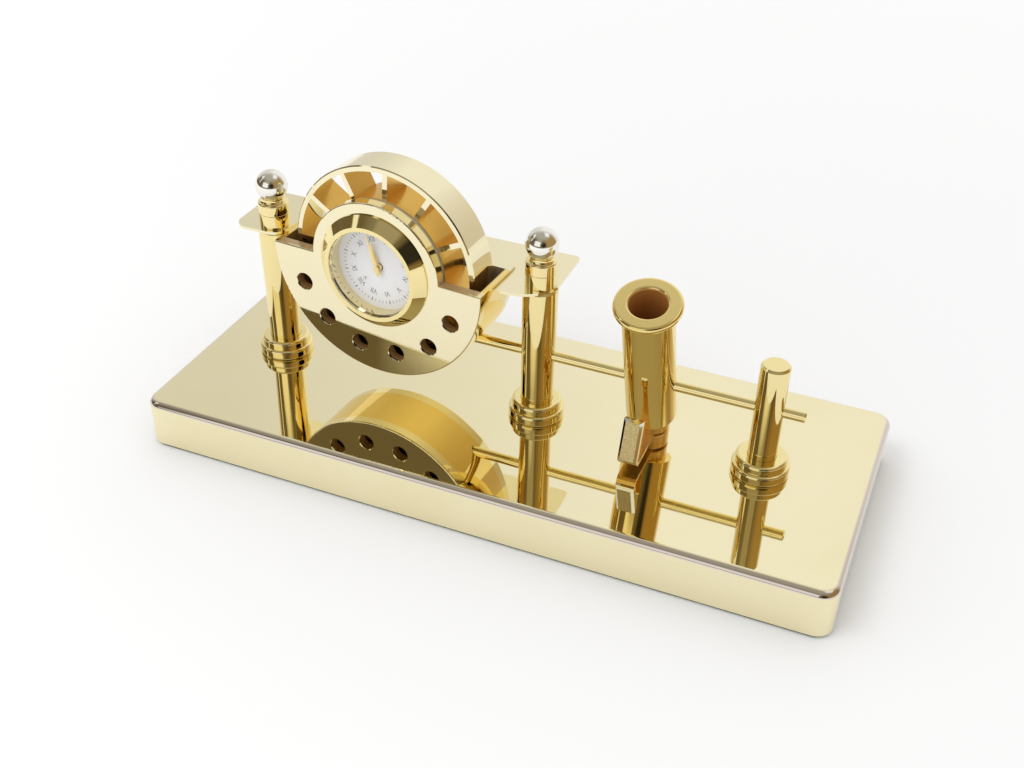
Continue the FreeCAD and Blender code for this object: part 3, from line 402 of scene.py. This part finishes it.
# The wheel's blades and hub are partly their own gold and partly painted shade: the deeper amber stands
# for the darkening of light reflected back and forth inside the casing.
wheel_shaded_gold = polished_plate("wheel_shaded_gold", light=(0.74, 0.46, 0.11), deep=(0.69, 0.41, 0.085),
                            haze_low=0.20, haze_high=0.27, wave=0.05, special=forward_face_highlight)
warm_gold = polished_plate("warm_gold", light=(0.86, 0.56, 0.16), deep=(0.82, 0.50, 0.12),
                           haze_low=0.12, haze_high=0.22, wave=0.05, special=lacquered)
finial_gold = polished_plate("finial_gold", light=(0.90, 0.76, 0.40), deep=(0.88, 0.73, 0.36),
                             haze_low=0.015, haze_high=0.05, wave=0.02, special=silvery_ball)
tube_gold = polished_plate("tube_gold", light=(0.90, 0.72, 0.30), deep=(0.88, 0.69, 0.27),
                           haze_low=0.015, haze_high=0.06, wave=0.03, special=bore_painted_shade)
hand_gold = polished_plate("hand_gold", light=(0.90, 0.74, 0.34), deep=(0.86, 0.68, 0.28),
                           haze_low=0.12, haze_high=0.22, wave=0.02)
steel = polished_plate("plated_steel", light=(0.60, 0.60, 0.58), deep=(0.50, 0.50, 0.49),
                       haze_low=0.18, haze_high=0.3, wave=0.05)
felt_green = plain_finish("green_felt", low=(0.008, 0.035, 0.018), high=(0.02, 0.075, 0.04),
                          roughness_low=0.9, roughness_high=1.0, grain=1400.0, relief=0.8)
enamel = plain_finish("dial_enamel", low=(0.86, 0.86, 0.88), high=(0.90, 0.90, 0.915),
                      roughness_low=0.3, roughness_high=0.4, grain=2000.0, relief=0.03)
dial_ink = plain_finish("dial_ink", low=(0.10, 0.10, 0.11), high=(0.16, 0.16, 0.17),
                        roughness_low=0.4, roughness_high=0.55, grain=3000.0, relief=0.05)
black_moulding = plain_finish("black_moulding", low=(0.012, 0.012, 0.013), high=(0.022, 0.022, 0.024),
                              roughness_low=0.45, roughness_high=0.6, grain=2600.0, relief=0.3)
grip_rubber = plain_finish("grip_rubber", low=(0.018, 0.018, 0.018), high=(0.03, 0.03, 0.03),
                           roughness_low=0.75, roughness_high=0.9, grain=1800.0, relief=0.4)
nylon = plain_finish("natural_nylon", low=(0.50, 0.41, 0.26), high=(0.58, 0.49, 0.33),
                     roughness_low=0.4, roughness_high=0.55, grain=1500.0, relief=0.2)
board = plain_finish("fibre_board", low=(0.26, 0.17, 0.09), high=(0.36, 0.25, 0.14),
                     roughness_low=0.8, roughness_high=0.95, grain=700.0, relief=0.6)
crystal = crystal_glass()
pad_finish = stippled_pad()

FINISHES = {
    "base_cover": base_gold,
    "base_core": board,
    "felt_pad": felt_green,
    "carrier_plate": champagne,
    "casing_front": casing_gold,
    "casing_wall": wall_gold,
    "casing_back": casing_gold,
    "wheel_hub": wheel_shaded_gold,
    "wheel_rim": champagne,
    "front_spacer": nylon,
    "back_spacer": nylon,
    "left_post_finial": finial_gold,
    "middle_post_finial": finial_gold,
    "pen_tube": tube_gold,
    "pen_neck": warm_gold,
    "pen_washer": warm_gold,
    "hook_strip": warm_gold,
    "hook_pad": pad_finish,
    "clock_glass": crystal,
    "clock_dial": enamel,
    "clock_hour_hand": hand_gold,
    "clock_minute_hand": hand_gold,
    "clock_grip_ring": grip_rubber,
    "clock_movement": black_moulding,
    "clock_back_cover": black_moulding,
    "clock_setting_knob": black_moulding,
    "clock_battery": steel,
}
for name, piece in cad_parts.items():
    if name.endswith("_screw"):
        finish = steel
    elif name.startswith("wheel_blade"):
        finish = wheel_shaded_gold
    else:
        finish = FINISHES.get(name, gold)
    piece.data.materials.clear()
    piece.data.materials.append(finish)

# The dial's print: Roman numerals and a minute track, on the enamel and turned with the insert

DIAL_SPOT = (Matrix.Translation(CLOCK_PLACE) @ Matrix.Rotation(CASING_TURN, 4, "Z")
             @ Matrix.Rotation(math.radians(90.0), 4, "X") @ Matrix.Rotation(INSERT_TURN, 4, "Z")
             @ Matrix.Translation((0.0, 0.0, -DIAL_DEPTH)))
HOUR_FIGURES = ("XII", "I", "II", "III", "IV", "V", "VI", "VII", "VIII", "IX", "X", "XI")


def numeral(hour, figure):
    """One hour's figure, with its foot towards the dial's middle."""
    bpy.ops.object.select_all(action="DESELECT")
    bpy.ops.object.text_add()
    text = bpy.context.active_object
    text.data.body = figure
    text.data.size = NUMERAL_HEIGHT
    text.data.align_x = "CENTER"
    text.data.align_y = "CENTER"
    text.data.extrude = PRINT_THICKNESS / 2
    text.data.resolution_u = 3
    bpy.ops.object.convert(target="MESH")
    text = bpy.context.active_object
    text.data.transform(Matrix.Rotation(-hour * math.radians(30.0), 4, "Z")
                        @ Matrix.Translation((0.0, NUMERAL_RADIUS, PRINT_LIFT))
                        @ Matrix.Scale(NUMERAL_NARROWING, 4, (1.0, 0.0, 0.0)))
    return text


def minute_mark(minute):
    """One mark of the minute track, longer and wider at the hours."""
    bpy.ops.object.select_all(action="DESELECT")
    bpy.ops.mesh.primitive_cube_add(size=1.0)
    mark = bpy.context.active_object
    is_hour = minute % 5 == 0
    width = 0.00026 if is_hour else 0.00012
    length = 0.0010 if is_hour else 0.0007
    mark.data.transform(Matrix.Rotation(math.radians(6.0) * minute, 4, "Z")
                        @ Matrix.Translation((0.0, TRACK_RADIUS, PRINT_LIFT))
                        @ Matrix.Diagonal((width, length, PRINT_THICKNESS, 1.0)))
    return mark


def printed(pieces, name):
    """Join flat prints on the dial, give them ink and let them ride with the clock."""
    bpy.ops.object.select_all(action="DESELECT")
    for piece in pieces:
        piece.select_set(True)
    piece = pieces[0]
    bpy.context.view_layer.objects.active = piece
    bpy.ops.object.join()
    bpy.ops.object.select_all(action="DESELECT")
    piece.data.transform(DIAL_SPOT @ piece.matrix_world)
    piece.matrix_world = Matrix.Identity(4)
    piece.name = name
    piece.data.materials.clear()
    piece.data.materials.append(dial_ink)
    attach(piece, "clock")


printed([numeral(hour, figure) for hour, figure in enumerate(HOUR_FIGURES)], "dial_numerals")
printed([minute_mark(minute) for minute in range(60)], "minute_track")

# Studio: a white floor, a white sweep behind, a dim room with soft windows, and a soft lamp

FLOOR_SIDE = 3.0
FLOOR_WHITE = (0.9, 0.9, 0.9, 1.0)
FLOOR_LIFT_NEAR, FLOOR_LIFT_FAR = 0.03, 0.17
LIFT_STARTS, LIFT_ENDS = 0.12, 0.60


def seen_rays(nodes, links):
    """1 for what the camera, metal and glass see, and 0 for light that falls on a surface."""
    rays = nodes.new("ShaderNodeLightPath")
    in_metal_or_glass = figured(nodes, links, "MAXIMUM",
                                rays.outputs["Is Glossy Ray"], rays.outputs["Is Transmission Ray"])
    return figured(nodes, links, "MAXIMUM", rays.outputs["Is Camera Ray"], in_metal_or_glass)


def white_paper():
    """Paper that is seen as white, lifted more and more outwards as the lamp's light fades."""
    finish, nodes, links, shader = new_finish("white_paper")
    shader.inputs["Base Color"].default_value = FLOOR_WHITE
    shader.inputs["Roughness"].default_value = 0.9
    spot = nodes.new("ShaderNodeTexCoord")
    distance = length_of(nodes, links, spot.outputs["Object"])
    for_fading_lamp = ranged(nodes, links, distance, FLOOR_LIFT_NEAR, FLOOR_LIFT_FAR,
                             start=LIFT_STARTS, end=LIFT_ENDS)
    lift = nodes.new("ShaderNodeEmission")
    strength = figured(nodes, links, "MULTIPLY", seen_rays(nodes, links), for_fading_lamp)
    links.new(strength, lift.inputs["Strength"])
    whole = nodes.new("ShaderNodeAddShader")
    links.new(shader.outputs["BSDF"], whole.inputs[0])
    links.new(lift.outputs["Emission"], whole.inputs[1])
    links.new(whole.outputs["Shader"], nodes["Material Output"].inputs["Surface"])
    return finish


bpy.ops.mesh.primitive_plane_add(size=FLOOR_SIDE, location=(0.0, 0.0, 0.0))
floor = bpy.context.active_object
floor.name = "floor"
floor.data.materials.append(white_paper())

# Directions in the room, its colours and its lamp

TO_SWEEP = (-0.347, 0.938, 0.0)
ALONG_SWEEP = (0.927, 0.374, 0.0)
TO_RIGHT = (0.94, 0.20, 0.25)
TO_LEFT = (-1.0, 0.0, 0.0)
TO_DARK_CORNER = (0.518, -0.798, 0.309)
EVEN_LIGHT = (0.86, 0.86, 0.86)
ROOM_DIM = (0.155, 0.125, 0.075)
ROOM_RIGHT = (0.38, 0.25, 0.09)
ROOM_CEILING = (0.44, 0.415, 0.35)
CORNER_DARK = (0.03, 0.026, 0.022)
SWEEP_LEFT = (0.76, 0.75, 0.73)
SWEEP_RIGHT = (0.97, 0.97, 0.96)
LEAST_DEPTH = 0.05
LAMP_WIDTH, LAMP_LENGTH = 0.5, 0.4
LAMP_WATTS = 2.2
LAMP_PLACE = Vector((-0.28, -0.42, 0.75))

# Each window's direction, width, height, softness of its edge, and glow: a pale panel above the
# front, the large window in front, a skylight to the right, one to the left, and a tall slit left

WINDOWS = (
    ((-0.06, -0.70, 0.71), 0.50, 0.34, 0.12, (0.38, 0.34, 0.27)),
    ((-0.22, -0.925, 0.36), 0.66, 0.50, 0.06, (1.0, 0.99, 0.96)),
    ((0.36, 0.24, 0.90), 0.42, 0.30, 0.12, (0.95, 0.95, 0.95)),
    ((-0.68, -0.12, 0.72), 0.22, 0.22, 0.06, (0.9, 0.9, 0.9)),
    ((-0.79, -0.34, 0.51), 0.07, 0.50, 0.03, (1.0, 1.0, 1.0)),
)


def toward(nodes, links, way, direction, start, end):
    """0 up to start and 1 from end, by how nearly a way points in a direction."""
    return ranged(nodes, links, along(nodes, links, way, direction), 0.0, 1.0, start, end)


def window(nodes, links, way, direction, width, height, soft):
    """A soft-edged oblong that stands in a direction of the room."""
    middle = Vector(direction).normalized()
    side = middle.cross(Vector(UP)).normalized()
    top = side.cross(middle)
    depth = along(nodes, links, way, middle)
    safe_depth = figured(nodes, links, "MAXIMUM", depth, LEAST_DEPTH)
    within = []
    for axis, half in ((side, width / 2), (top, height / 2)):
        offset = figured(nodes, links, "DIVIDE", along(nodes, links, way, axis), safe_depth)
        either_way = figured(nodes, links, "ABSOLUTE", offset)
        within.append(ranged(nodes, links, either_way, 1.0, 0.0, half, half + soft))
    oblong = figured(nodes, links, "MULTIPLY", *within)
    ahead_only = ranged(nodes, links, depth, 0.0, 1.0, start=0.1, end=0.2)
    return figured(nodes, links, "MULTIPLY", oblong, ahead_only)


def light_room():
    """The room that the camera, metal and glass see, and the even light that falls from it."""
    world = bpy.data.worlds.new("studio_room")
    bpy.context.scene.world = world
    world.use_nodes = True
    nodes, links = world.node_tree.nodes, world.node_tree.links
    nodes.clear()
    way = nodes.new("ShaderNodeTexCoord").outputs["Generated"]
    on_right = toward(nodes, links, way, TO_RIGHT, start=0.30, end=0.75)
    walls = mixed(nodes, links, on_right, ROOM_DIM, ROOM_RIGHT)
    on_ceiling = toward(nodes, links, way, UP, start=0.62, end=0.90)
    walls = mixed(nodes, links, on_ceiling, walls, ROOM_CEILING)
    in_corner = toward(nodes, links, way, TO_DARK_CORNER, start=0.952, end=0.98)
    walls = mixed(nodes, links, in_corner, walls, CORNER_DARK)
    along_sweep = toward(nodes, links, way, ALONG_SWEEP, start=-0.22, end=0.12)
    sweep = mixed(nodes, links, along_sweep, SWEEP_LEFT, SWEEP_RIGHT)
    leftward = along(nodes, links, way, TO_LEFT)
    not_far_left = ranged(nodes, links, leftward, 1.0, 0.0, start=0.93, end=0.985)
    behind = toward(nodes, links, way, TO_SWEEP, start=0.20, end=0.62)
    on_sweep = figured(nodes, links, "MULTIPLY", behind, not_far_left)
    lit = mixed(nodes, links, on_sweep, walls, sweep)
    for direction, width, height, soft, glow in WINDOWS:
        pane = window(nodes, links, way, direction, width, height, soft)
        lit = mixed(nodes, links, pane, lit, glow)
    background = nodes.new("ShaderNodeBackground")
    links.new(mixed(nodes, links, seen_rays(nodes, links), EVEN_LIGHT, lit), background.inputs["Color"])
    out = nodes.new("ShaderNodeOutputWorld")
    links.new(background.outputs["Background"], out.inputs["Surface"])


def hang_lamp():
    """A soft lamp that casts the shadow and is itself neither seen nor mirrored."""
    lamp_data = bpy.data.lights.new("soft_lamp", "AREA")
    lamp_data.shape = "RECTANGLE"
    lamp_data.size = LAMP_WIDTH
    lamp_data.size_y = LAMP_LENGTH
    lamp_data.energy = LAMP_WATTS
    lamp = bpy.data.objects.new("soft_lamp", lamp_data)
    bpy.context.scene.collection.objects.link(lamp)
    lamp.location = LAMP_PLACE
    lamp.rotation_euler = (-LAMP_PLACE).to_track_quat("-Z", "Y").to_euler()
    lamp.visible_glossy = False
    lamp.visible_camera = False


light_room()
hang_lamp()
